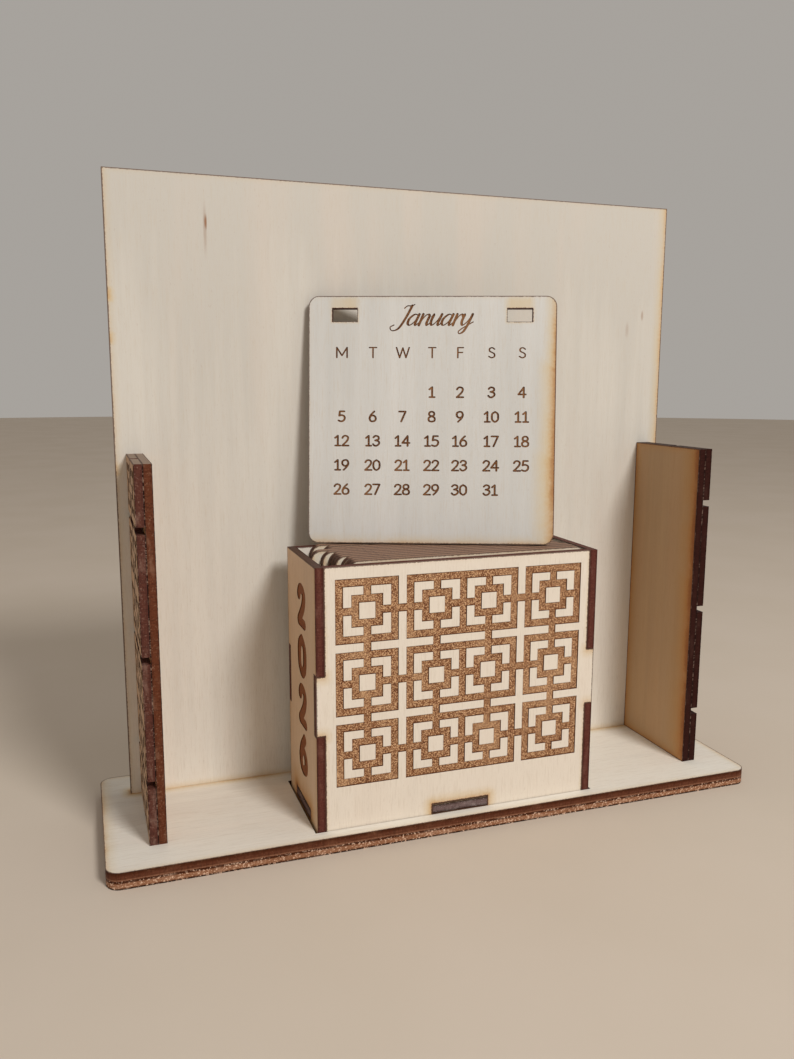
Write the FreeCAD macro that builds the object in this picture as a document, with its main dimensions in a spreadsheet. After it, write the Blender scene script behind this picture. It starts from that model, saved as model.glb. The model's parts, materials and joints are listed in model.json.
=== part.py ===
import FreeCAD, Part
import Sketcher
import os

# Desk calendar cut from one thickness of plywood.
#
# A two-layer base carries a tall back panel and two pillars. Each pillar is a plain
# panel with a fretwork panel glued on its outer face. A square, open-topped card box
# stands in a recess of the base and lifts out. Eleven month cards stand in the box;
# the twelfth stands across their tops and leans back on the panel.
#
# Frame: +Z up, -Y towards the reader, +X to the reader's right. The origin is the
# centre of the base's underside.

# Driving sizes in millimetres, with angles in degrees: alias, value, meaning.
SIZES = (
    ("ply", 3, "thickness of every sheet"),
    ("tab_gap", 0.1, "air round a tab in its slot, left by the saw"),
    ("slot_headroom", 0.4, "air over a tab of the box's bottom in its slot"),
    ("base_width", 254, "both base plates, along X"),
    ("base_depth", 76.5, "both base plates, along Y"),
    ("base_corner", 5, "radius of the base's four corners"),
    ("panel_width", 232, "back panel, along X"),
    ("panel_height", 232, "back panel, above the base"),
    ("panel_ledge", 14.5, "base left free behind the back panel"),
    ("panel_tab_width", 20, "each tab at the foot of the back panel"),
    ("panel_tab_inset", 21, "from the panel's side edge to its tab"),
    ("panel_overhang", 4, "panel that shows outside each pillar"),
    ("pillar_height", 132, "pillar, above the base"),
    ("pillar_depth", 44, "pillar, forward of the back panel"),
    ("fret_tiles", 3, "fretwork tiles, one above the other"),
    ("card_side", 93.5, "each month card is a square of this side"),
    ("card_corner", 4, "radius of a card's corners"),
    ("hole_width", 9.5, "each of a card's two holes, along its top edge"),
    ("hole_height", 5, "each of a card's two holes, down the card"),
    ("hole_inset", 9, "from a card's side edge to its hole"),
    ("hole_drop", 4.6, "from a card's top edge to its holes"),
    ("card_count", 12, "cards that the box is deep enough for"),
    ("card_gap", 0.2, "air between two cards in the box"),
    ("front_gap", 0.3, "air between the first card and the front wall"),
    ("back_slip", 1.5, "how far the last two cards have slipped back"),
    ("side_play", 10.2, "box's inside width beyond a card's side"),
    ("depth_play", 1, "box's inside depth beyond the twelve cards"),
    ("card_reveal", 0.9, "how far the cards stand above the box's rim"),
    ("box_tab", 22, "each finger and each bottom tab of the box"),
    ("bottom_lift", 3.4, "from the walls' feet to the box's bottom"),
    ("recess_strip", 5, "base top plate left in front of the recess"),
    ("recess_front_gap", 0.3, "air between the box and the recess, in front"),
    ("recess_side_gap", 0.85, "air between the box and the recess, each side"),
    ("recess_back_gap", 2, "air between the box and the recess, behind"),
    ("january_yaw", 21.4, "turn of the displayed card, right end forward"),
    ("january_lean", 6.3, "lean of the displayed card, top back"),
    ("january_shift", -1, "middle of the displayed card, along X"),
    ("lean_gap", 0.25, "air between the displayed card and the panel"),
    ("rest_gap", 0.1, "air between the displayed card and those under it"),
)

# The fretwork is drawn on a grid: a tile is two cells and the bar between them, both
# across and up. All its strips and slots are one grid unit wide.
CELL = 8
BAR = 1
TILE = CELL + BAR + CELL
CELL_PITCH = CELL + BAR
ARM = 3.5      # length of an L-shaped cut's arm
SQUARE = 2     # side of the cut at the middle of a cell
MIDDLE = CELL / 2

# Where each card in the box stands between the side walls, from front to back:
# 1 touches the right wall and -1 touches the left one. The last number says whether
# the card has slipped back towards the back wall.
CARDS_IN_BOX = (
    ("card_february", 0.93, 0),
    ("card_march", 0.95, 0),
    ("card_april", 0.89, 0),
    ("card_may", 0.51, 0),
    ("card_june", 0.51, 0),
    ("card_july", 0.51, 0),
    ("card_august", 0.10, 0),
    ("card_september", -0.60, 0),
    ("card_october", 0.62, 0),
    ("card_november", 0.73, 1),
    ("card_december", -0.05, 1),
)

doc = FreeCAD.newDocument("desk_calendar")

# Sizes worked out from the driving ones, as expressions on the sheet.
PLY = "Sizes.ply"
BASE_TOP = "(2 * Sizes.ply)"
PANEL_FACE = "(Sizes.base_depth / 2 - Sizes.panel_ledge - Sizes.ply)"
PILLAR_FACE = "(Sizes.panel_width / 2 - Sizes.panel_overhang)"
UNIT_Y = f"(Sizes.pillar_depth / {TILE})"
UNIT_Z = f"(Sizes.pillar_height / Sizes.fret_tiles / {TILE})"
INNER_WIDTH = "(Sizes.card_side + Sizes.side_play)"
INNER_DEPTH = "(Sizes.card_count * Sizes.ply + Sizes.depth_play)"
BOX_WIDTH = f"({INNER_WIDTH} + 2 * Sizes.ply)"
BOX_DEPTH = f"({INNER_DEPTH} + 2 * Sizes.ply)"
WALL_HEIGHT = "(Sizes.bottom_lift + Sizes.ply + Sizes.card_side - Sizes.card_reveal)"
BOX_FRONT = "(Sizes.recess_strip + Sizes.recess_front_gap - Sizes.base_depth / 2)"
BOX_FOOT = "Sizes.ply"
DECK_FOOT = f"({BOX_FOOT} + Sizes.bottom_lift + Sizes.ply)"


def make_sheet():
    """Write the driving sizes into the document's spreadsheet."""
    sheet = doc.addObject("Spreadsheet::Sheet", "Sizes")
    for row, (alias, value, meaning) in enumerate(SIZES, start=1):
        sheet.set(f"A{row}", alias)
        sheet.set(f"B{row}", str(value))
        sheet.set(f"C{row}", meaning)
        sheet.setAlias(f"B{row}", alias)
    doc.recompute()
    return sheet


sizes = make_sheet()


def value(expression):
    """The present value of an expression on the sheet."""
    return float(sizes.evalExpression(expression))


def origin_feature(body, role):
    """One of the body's own origin planes or axes."""
    return next(f for f in body.Origin.OriginFeatures if f.Role == role)


def rectangle(left, right, low, high):
    """Corners of a rectangle, as expressions, in turning order."""
    return [(left, low), (right, low), (right, high), (left, high)]


def centred(width, low, high, middle="0"):
    """A rectangle of this width about a middle line."""
    return rectangle(f"{middle} - ({width}) / 2", f"{middle} + ({width}) / 2", low, high)


def draw(body, name, plane, outlines):
    """A sketch of closed outlines, every corner of which is tied to the sheet."""
    sketch = body.newObject("Sketcher::SketchObject", name)
    sketch.AttachmentSupport = [(origin_feature(body, plane), "")]
    sketch.MapMode = "FlatFace"
    lines = []
    constraints = []
    ties = []
    for corners in outlines:
        first = len(lines)
        count = len(corners)
        points = [FreeCAD.Vector(value(x), value(y), 0) for x, y in corners]
        for index in range(count):
            following = (index + 1) % count
            lines.append(Part.LineSegment(points[index], points[following]))
            joint = ("Coincident", first + index, 2, first + following, 1)
            constraints.append(Sketcher.Constraint(*joint))
        for index, (x, y) in enumerate(corners):
            for kind, expression in (("DistanceX", x), ("DistanceY", y)):
                ties.append((len(constraints), expression))
                size = (kind, first + index, 1, value(expression))
                constraints.append(Sketcher.Constraint(*size))
    sketch.addGeometry(lines)
    sketch.addConstraint(constraints)
    for index, expression in ties:
        sketch.setExpression(f"Constraints[{index}]", expression)
    return sketch


def sheet_piece(name, plane, outlines):
    """A piece cut from the ply: the first outline is its edge, the rest are holes."""
    body = doc.addObject("PartDesign::Body", name)
    body.Label = name
    pad = body.newObject("PartDesign::Pad", f"{name}_pad")
    pad.Profile = draw(body, f"{name}_outline", plane, outlines)
    pad.setExpression("Length", PLY)
    return body


def place(body, x="0", y="0", z="0"):
    """Tie the body's position to the sheet."""
    for axis, expression in (("x", x), ("y", y), ("z", z)):
        body.setExpression(f"Placement.Base.{axis}", expression)


def round_corners(body, normal, radius):
    """Round a sheet piece's corners: the four edges along the normal farthest out."""
    doc.recompute()
    middle = body.Shape.BoundBox.Center
    along = []
    for index, edge in enumerate(body.Shape.Edges, start=1):
        if edge.tangentAt(edge.FirstParameter).cross(normal).Length < 1e-6:
            along.append(((edge.CenterOfMass - middle).Length, f"Edge{index}"))
    corners = [name for _, name in sorted(along)[-4:]]
    cut = body.Tip
    fillet = body.newObject("PartDesign::Fillet", f"{body.Name}_corners")
    fillet.Base = (cut, corners)
    fillet.setExpression("Radius", radius)
    body.Tip = fillet


def base_outline():
    return centred("Sizes.base_width", "-Sizes.base_depth / 2", "Sizes.base_depth / 2")


def make_base():
    """Two plates; the upper one has the box's recess and the panel's slots."""
    up = FreeCAD.Vector(0, 0, 1)
    lower = sheet_piece("base_bottom_plate", "XY_Plane", [base_outline()])
    round_corners(lower, up, "Sizes.base_corner")
    place(lower)

    recess = centred(
        f"{BOX_WIDTH} + 2 * Sizes.recess_side_gap",
        f"{BOX_FRONT} - Sizes.recess_front_gap",
        f"{BOX_FRONT} + {BOX_DEPTH} + Sizes.recess_back_gap",
    )
    slots = []
    for side in ("-", ""):
        slots.append(
            centred(
                "Sizes.panel_tab_width + 2 * Sizes.tab_gap",
                f"{PANEL_FACE} - Sizes.tab_gap",
                f"{PANEL_FACE} + {PLY} + Sizes.tab_gap",
                middle=f"{side}{panel_tab_middle()}",
            )
        )
    upper = sheet_piece("base_top_plate", "XY_Plane", [base_outline(), recess] + slots)
    round_corners(upper, up, "Sizes.base_corner")
    place(upper, z=PLY)


def panel_tab_middle():
    """Distance of each panel tab's middle from the middle of the panel."""
    return "(Sizes.panel_width / 2 - Sizes.panel_tab_inset - Sizes.panel_tab_width / 2)"


def make_back_panel():
    """Plain tall panel on two tabs that reach through the base's upper plate."""
    near = f"({panel_tab_middle()} - Sizes.panel_tab_width / 2)"
    far = f"({panel_tab_middle()} + Sizes.panel_tab_width / 2)"
    edge = "Sizes.panel_width / 2"
    foot = [
        (f"-{edge}", "0"),
        (f"-{far}", "0"),
        (f"-{far}", f"-{PLY}"),
        (f"-{near}", f"-{PLY}"),
        (f"-{near}", "0"),
        (near, "0"),
        (near, f"-{PLY}"),
        (far, f"-{PLY}"),
        (far, "0"),
        (edge, "0"),
    ]
    head = [(edge, "Sizes.panel_height"), (f"-{edge}", "Sizes.panel_height")]
    panel = sheet_piece("back_panel", "XZ_Plane", [foot + head])
    place(panel, y=f"{PANEL_FACE} + {PLY}", z=BASE_TOP)


def pillar_outline():
    return rectangle("-Sizes.pillar_depth", "0", "0", "Sizes.pillar_height")


def grid_outline(corners):
    """Corners given in grid units, counted from the pillar's lower front corner."""
    return [(f"{y} * {UNIT_Y} - Sizes.pillar_depth", f"{z} * {UNIT_Z}") for y, z in corners]


def cell_cuts():
    """The cuts of the lowest front cell: a square, and an L round each corner of it."""
    half = SQUARE / 2
    corner = [(-half, -half), (half, -half), (half, half), (-half, half)]
    cuts = [[(MIDDLE + y, MIDDLE + z) for y, z in corner]]
    for turn_y in (1, -1):
        for turn_z in (1, -1):
            ell = [(1, 1), (ARM, 1), (ARM, 2), (2, 2), (2, ARM), (1, ARM)]
            placed = []
            for y, z in ell:
                placed.append((MIDDLE - turn_y * (MIDDLE - y), MIDDLE - turn_z * (MIDDLE - z)))
            cuts.append(placed)
    return [grid_outline(cut) for cut in cuts]


def bar_cuts():
    """The cuts between a tile's four cells: a cross, and four slots open at the edge."""
    low = CELL
    high = CELL + BAR
    near = MIDDLE + BAR / 2
    far = TILE - near
    cross = [
        (low, near), (high, near), (high, low), (far, low), (far, high), (high, high),
        (high, far), (low, far), (low, high), (near, high), (near, low), (low, low),
    ]
    end = MIDDLE - BAR / 2
    slots = [
        [(low, 0), (high, 0), (high, end), (low, end)],
        [(low, TILE - end), (high, TILE - end), (high, TILE), (low, TILE)],
        [(0, low), (end, low), (end, high), (0, high)],
        [(TILE - end, low), (TILE, low), (TILE, high), (TILE - end, high)],
    ]
    return [grid_outline(cut) for cut in [cross] + slots]


def cut_through(body, name, outlines):
    """A pocket right through a piece drawn on its own YZ plane."""
    pocket = body.newObject("PartDesign::Pocket", f"{name}_cut")
    pocket.Profile = draw(body, f"{name}_outline", "YZ_Plane", outlines)
    pocket.Type = "ThroughAll"
    pocket.Midplane = True
    return pocket


def row(body, name, axis, count, pitch):
    """A linear pattern along one of the body's own axes; pitch is an expression."""
    pattern = body.newObject("PartDesign::LinearPattern", name)
    pattern.Direction = (origin_feature(body, axis), [""])
    pattern.setExpression("Occurrences", count)
    pattern.setExpression("Length", f"({count} - 1) * {pitch}")
    return pattern


def make_fretwork(name):
    """A lattice panel: one cell and one bar crossing are cut, then repeated."""
    body = sheet_piece(name, "YZ_Plane", [pillar_outline()])
    tile_pitch = f"{TILE} * {UNIT_Z}"

    bars = cut_through(body, f"{name}_bars", bar_cuts())
    bar_rows = row(body, f"{name}_bar_rows", "Z_Axis", "Sizes.fret_tiles", tile_pitch)
    bar_rows.Originals = [bars]
    body.Tip = bar_rows

    cells = cut_through(body, f"{name}_cells", cell_cuts())
    every_cell = body.newObject("PartDesign::MultiTransform", f"{name}_every_cell")
    every_cell.Originals = [cells]
    every_cell.Transformations = [
        row(body, f"{name}_across", "Y_Axis", "2", f"{CELL_PITCH} * {UNIT_Y}"),
        row(body, f"{name}_up", "Z_Axis", "2", f"{CELL_PITCH} * {UNIT_Z}"),
        row(body, f"{name}_tiles", "Z_Axis", "Sizes.fret_tiles", tile_pitch),
    ]
    body.Tip = every_cell
    return body


def make_pillars():
    """On each side a plain panel, with the fretwork glued on its outer face."""
    left_inner = sheet_piece("left_pillar_inner_panel", "YZ_Plane", [pillar_outline()])
    place(left_inner, x=f"{PLY} - {PILLAR_FACE}", y=PANEL_FACE, z=BASE_TOP)
    left_outer = make_fretwork("left_pillar_fretwork")
    place(left_outer, x=f"-{PILLAR_FACE}", y=PANEL_FACE, z=BASE_TOP)
    right_inner = sheet_piece("right_pillar_inner_panel", "YZ_Plane", [pillar_outline()])
    place(right_inner, x=f"{PILLAR_FACE} - 2 * {PLY}", y=PANEL_FACE, z=BASE_TOP)
    right_outer = make_fretwork("right_pillar_fretwork")
    place(right_outer, x=f"{PILLAR_FACE} - {PLY}", y=PANEL_FACE, z=BASE_TOP)


def bottom_slot(middle):
    """The closed slot in a wall that takes a tab of the box's bottom."""
    return centred(
        "Sizes.box_tab + 2 * Sizes.tab_gap",
        "Sizes.bottom_lift - Sizes.tab_gap",
        f"Sizes.bottom_lift + {PLY} + Sizes.slot_headroom",
        middle=middle,
    )


def make_long_wall(name, y):
    """Front or back wall: it fits between the side walls, with a finger at each end."""
    inner = f"{INNER_WIDTH} / 2"
    outer = f"{BOX_WIDTH} / 2"
    low = f"({WALL_HEIGHT} / 2 - Sizes.box_tab / 2)"
    high = f"({WALL_HEIGHT} / 2 + Sizes.box_tab / 2)"
    right = [
        (inner, "0"), (inner, low), (outer, low), (outer, high), (inner, high), (inner, WALL_HEIGHT),
    ]
    left = [(f"-{x}", z) for x, z in reversed(right)]
    wall = sheet_piece(name, "XZ_Plane", [right + left, bottom_slot("0")])
    place(wall, y=y, z=BOX_FOOT)


def make_side_wall(name, x):
    """Side wall as deep as the box, notched at mid-height for the fingers."""
    low = f"({WALL_HEIGHT} / 2 - Sizes.box_tab / 2 - Sizes.tab_gap)"
    high = f"({WALL_HEIGHT} / 2 + Sizes.box_tab / 2 + Sizes.tab_gap)"
    notch = f"({PLY} + Sizes.tab_gap)"
    front = [("0", WALL_HEIGHT), ("0", high), (notch, high), (notch, low), ("0", low), ("0", "0")]
    back = [(f"{BOX_DEPTH} - {y}", z) for y, z in reversed(front)]
    wall = sheet_piece(name, "YZ_Plane", [front + back, bottom_slot(f"{BOX_DEPTH} / 2")])
    place(wall, x=x, y=BOX_FRONT, z=BOX_FOOT)


def make_box_bottom():
    """Bottom plate with a tab in the middle of each edge."""
    x_in = f"{INNER_WIDTH} / 2"
    x_out = f"{BOX_WIDTH} / 2"
    y_in = f"{INNER_DEPTH} / 2"
    y_out = f"{BOX_DEPTH} / 2"
    half_tab = "Sizes.box_tab / 2"
    quarter = [(half_tab, y_out), (half_tab, y_in), (x_in, y_in), (x_in, half_tab), (x_out, half_tab)]
    lower_right = [(x, f"-{y}") for x, y in reversed(quarter)]
    right = quarter + lower_right
    left = [(f"-{x}", y) for x, y in reversed(right)]
    bottom = sheet_piece("box_bottom", "XY_Plane", [right + left])
    place(bottom, y=f"{BOX_FRONT} + {BOX_DEPTH} / 2", z=f"{BOX_FOOT} + Sizes.bottom_lift")


def make_box():
    make_long_wall("box_front_wall", f"{BOX_FRONT} + {PLY}")
    make_long_wall("box_back_wall", f"{BOX_FRONT} + {BOX_DEPTH}")
    make_side_wall("box_left_wall", f"-{BOX_WIDTH} / 2")
    make_side_wall("box_right_wall", f"{BOX_WIDTH} / 2 - {PLY}")
    make_box_bottom()


def make_card(name):
    """A square card with rounded corners and two holes near its top edge."""
    top = "Sizes.card_side - Sizes.hole_drop"
    middle = "(Sizes.card_side / 2 - Sizes.hole_inset - Sizes.hole_width / 2)"
    outlines = [centred("Sizes.card_side", "0", "Sizes.card_side")]
    for side in ("-", ""):
        hole = centred("Sizes.hole_width", f"{top} - Sizes.hole_height", top, middle=f"{side}{middle}")
        outlines.append(hole)
    card = sheet_piece(name, "XZ_Plane", outlines)
    round_corners(card, FreeCAD.Vector(0, 1, 0), "Sizes.card_corner")
    return card


def make_cards_in_box():
    """Eleven cards on the box's bottom, one behind the other."""
    for index, (name, slide, slipped) in enumerate(CARDS_IN_BOX):
        card = make_card(name)
        back_face = f"{BOX_FRONT} + {PLY} + Sizes.front_gap + {PLY}"
        behind = f"{index} * ({PLY} + Sizes.card_gap) + {slipped} * Sizes.back_slip"
        place(card, x=f"{slide} * Sizes.side_play / 2", y=f"{back_face} + {behind}", z=DECK_FOOT)


def make_displayed_card():
    """The card on show: it stands across the others and leans on the back panel."""
    card = make_card("card_january")
    doc.recompute()
    turn = FreeCAD.Rotation(FreeCAD.Vector(0, 0, 1), -value("Sizes.january_yaw"))
    lean = FreeCAD.Rotation(FreeCAD.Vector(1, 0, 0), -value("Sizes.january_lean"))
    card.Placement = FreeCAD.Placement(FreeCAD.Vector(), turn.multiply(lean))
    reach = card.Shape.optimalBoundingBox(False)
    card.Placement.Base = FreeCAD.Vector(
        value("Sizes.january_shift") - reach.Center.x,
        value(f"{PANEL_FACE} - Sizes.lean_gap") - reach.YMax,
        value(f"{DECK_FOOT} + Sizes.card_side + Sizes.rest_gap") - reach.ZMin,
    )


def check(bodies):
    """Stop if any object failed or any piece isn't one valid solid."""
    failed = [o.Name for o in doc.Objects if {"Invalid", "Error"} & set(o.State)]
    for body in bodies:
        shape = body.Shape
        if shape.isNull() or not shape.isValid() or len(shape.Solids) != 1:
            failed.append(body.Label)
    if failed:
        raise RuntimeError("failed: " + ", ".join(failed))


def main():
    make_base()
    make_back_panel()
    make_pillars()
    make_box()
    make_cards_in_box()
    make_displayed_card()
    doc.recompute()
    bodies = [o for o in doc.Objects if o.isDerivedFrom("PartDesign::Body")]
    check(bodies)
    os.makedirs("parts", exist_ok=True)
    for body in bodies:
        body.Shape.exportStep(f"parts/{body.Label}.step")
    print(len(bodies), "pieces")


main()
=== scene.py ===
"""The desk calendar's looks: plywood faces, laser-cut edges and engraving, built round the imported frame."""

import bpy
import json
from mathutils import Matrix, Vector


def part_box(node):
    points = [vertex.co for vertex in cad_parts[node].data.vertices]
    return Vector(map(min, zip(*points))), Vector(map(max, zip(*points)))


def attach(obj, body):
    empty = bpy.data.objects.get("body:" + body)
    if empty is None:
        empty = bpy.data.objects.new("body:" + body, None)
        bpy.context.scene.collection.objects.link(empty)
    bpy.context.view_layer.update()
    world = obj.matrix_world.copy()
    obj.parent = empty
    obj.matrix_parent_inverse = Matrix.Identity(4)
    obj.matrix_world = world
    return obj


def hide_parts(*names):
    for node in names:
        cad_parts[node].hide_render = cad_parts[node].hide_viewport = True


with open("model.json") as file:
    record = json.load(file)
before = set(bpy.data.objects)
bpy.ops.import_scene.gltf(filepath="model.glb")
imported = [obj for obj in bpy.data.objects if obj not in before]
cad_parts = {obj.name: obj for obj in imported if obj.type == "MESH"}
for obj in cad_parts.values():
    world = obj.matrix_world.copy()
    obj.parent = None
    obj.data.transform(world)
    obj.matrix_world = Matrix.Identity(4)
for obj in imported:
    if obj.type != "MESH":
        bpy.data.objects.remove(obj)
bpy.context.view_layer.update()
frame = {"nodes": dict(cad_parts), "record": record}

import calendar
import json
import math

import bmesh
import bpy
from mathutils import Matrix, Vector
from mathutils.geometry import delaunay_2d_cdt

NODES = frame["nodes"]
BODY_OF = {node: body for body, nodes in frame["record"]["behaviour"]["bodies"].items() for node in nodes}
MM = 0.001
X, Y, Z = 0, 1, 2


def srgb(red, green, blue):
    """A colour given as 0 to 255 screen values, as linear RGBA."""
    def linear(value):
        value /= 255
        return value / 12.92 if value <= 0.04045 else ((value + 0.055) / 1.055) ** 2.4
    return (linear(red), linear(green), linear(blue), 1.0)


# ---------------------------------------------------------------- colours

PALE = srgb(236, 229, 217)
CREAM = srgb(203, 197, 187)
# The card on show is cooler than the rest of the wood.
FROST = srgb(236, 233, 228)
ASHEN = srgb(203, 201, 196)
TAN = srgb(200, 186, 166)
BLUSH = srgb(220, 202, 186)
# A warm tint: partly the wood's own warmth, partly painted warm shade on faces that look away from the light.
HONEY_AND_SHADE = srgb(226, 186, 140)
HAZE = srgb(214, 187, 134)
AMBER = srgb(198, 148, 92)
RUST = srgb(148, 90, 48)
KNOT = srgb(150, 108, 78)
CHAR_LINE = srgb(78, 46, 32)
OUTLINE = srgb(96, 58, 34)

# How strongly pale specks, blotches and chips show on a cut edge. The higher sparse is, the fewer the specks.
EDGE_MARKS = {"speckle": 0.35, "sparse": 0.6, "bloom": 0.3, "chips": 0.0}


# The ash colour of a cut edge goes on its topmost upward faces. It is partly real grey ash and partly a
# painted highlight where light grazes the top.
def plies(rim, veneer, line, core, speck, ash_and_sheen=None, **marks):
    """The look of a cut edge through three plies. stops are (place through the thickness, colour)."""
    stops = [(0.0, rim), (0.065, rim), (0.11, veneer), (0.19, veneer), (0.22, line), (0.26, core),
             (0.74, core), (0.78, line), (0.81, veneer), (0.89, veneer), (0.935, rim), (1.0, rim)]
    return {**EDGE_MARKS, "stops": stops, "dark": rim, "speck": speck, "ash_and_sheen": ash_and_sheen, **marks}


CHAR = plies(srgb(56, 26, 20), srgb(88, 46, 38), srgb(66, 34, 28), srgb(96, 52, 43), srgb(136, 98, 84))
# The box's left wall's char, with its top edge greyer: partly ash, partly a painted highlight.
GREYED_AND_SHEENED = {**CHAR, "ash_and_sheen": srgb(84, 64, 53)}
PURPLE = plies(srgb(38, 20, 17), srgb(90, 51, 42), srgb(68, 38, 32), srgb(92, 53, 43), srgb(172, 142, 126),
               srgb(142, 122, 106), chips=0.5)
RUSSET = plies(srgb(42, 22, 15), srgb(98, 52, 33), srgb(80, 42, 27), srgb(100, 54, 34), srgb(166, 130, 106),
               srgb(142, 122, 106), chips=0.5)
# The right pillar's cut edges, their tops too, darkened as painted shade.
SHADED_UMBER = plies(srgb(28, 11, 8), srgb(48, 18, 12), srgb(36, 15, 11), srgb(50, 21, 16), srgb(152, 124, 110),
              srgb(62, 42, 34), chips=0.5, speckle=0.04, bloom=0.04)
# The cards' cut edges. Their tops are lighter, partly ash and partly a painted highlight.
SMOKE = plies(srgb(38, 19, 13), srgb(72, 42, 32), srgb(52, 29, 21), srgb(78, 46, 35), srgb(146, 112, 94),
              srgb(148, 117, 98))
SLATE = plies(srgb(38, 22, 16), srgb(96, 77, 73), srgb(70, 52, 48), srgb(112, 92, 90), srgb(176, 162, 158),
              speckle=0.6)

# The base's plates, from the underside up: a dark foot, bright copper, a dark seam, a pale line, a dark band.
LOWER_BASE = {
    **EDGE_MARKS,
    "stops": [(0.0, srgb(36, 18, 9)), (0.13, srgb(42, 21, 11)), (0.2, srgb(124, 81, 56)),
              (0.28, srgb(156, 108, 78)), (0.62, srgb(154, 108, 80)), (0.71, srgb(134, 88, 62)),
              (0.78, srgb(68, 32, 15)), (0.93, srgb(62, 28, 12)), (1.0, srgb(76, 40, 24))],
    "dark": srgb(84, 48, 32), "speck": srgb(232, 194, 166), "ash_and_sheen": None,
    "speckle": 0.85, "sparse": 0.55, "bloom": 0.2,
}
UPPER_BASE = {
    **EDGE_MARKS,
    "stops": [(0.0, srgb(92, 54, 36)), (0.07, srgb(138, 94, 70)), (0.16, srgb(134, 90, 68)),
              (0.21, srgb(98, 56, 38)), (0.5, srgb(98, 55, 37)), (0.66, srgb(86, 44, 26)),
              (0.84, srgb(74, 36, 18)), (0.93, srgb(66, 34, 20)), (1.0, srgb(60, 32, 22))],
    "dark": srgb(56, 30, 18), "speck": srgb(150, 106, 80), "ash_and_sheen": None,
    "speckle": 0.25, "bloom": 0.2, "chips": 0.6,
}


def burnt(dark, middle, light, patchy):
    """The look of an engraved floor. patchy is how far pale patches show on it."""
    return {"dark": dark, "middle": middle, "light": light, "patchy": patchy}


LATTICE_BURN = burnt(srgb(90, 49, 26), srgb(150, 100, 62), srgb(222, 181, 138), 0.2)
YEAR_BURN = burnt(srgb(110, 54, 18), srgb(130, 68, 24), srgb(158, 98, 50), 0.2)
TEXT_BURN = burnt(srgb(70, 38, 15), srgb(106, 63, 30), srgb(154, 108, 68), 0.6)


# ---------------------------------------------------------------- shading

# Sizes in mm.
FACE_BUMP, EDGE_BUMP, FLOOR_BUMP, RIM_BUMP, SHEET_BUMP = 0.05, 0.12, 0.15, 0.08, 0.08
HALO_WIDTH = 6.0
WANDER = 1.6
LINE_THIN, LINE_THICK = 0.24, 0.48
# How far below the top the ash colour and its painted highlight reach.
ASH_AND_SHEEN_DEPTH = 0.6

# Shares and strengths.
FACE_GLOSS, EDGE_GLOSS = 0.3, 0.08
BUMP_STRENGTH = 0.5
SLIGHTEST_HALO = 0.3
BURN_SHARE = 0.42
OUTLINE_CHAR, NOTCH_CHAR = 0.8, 0.95


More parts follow.
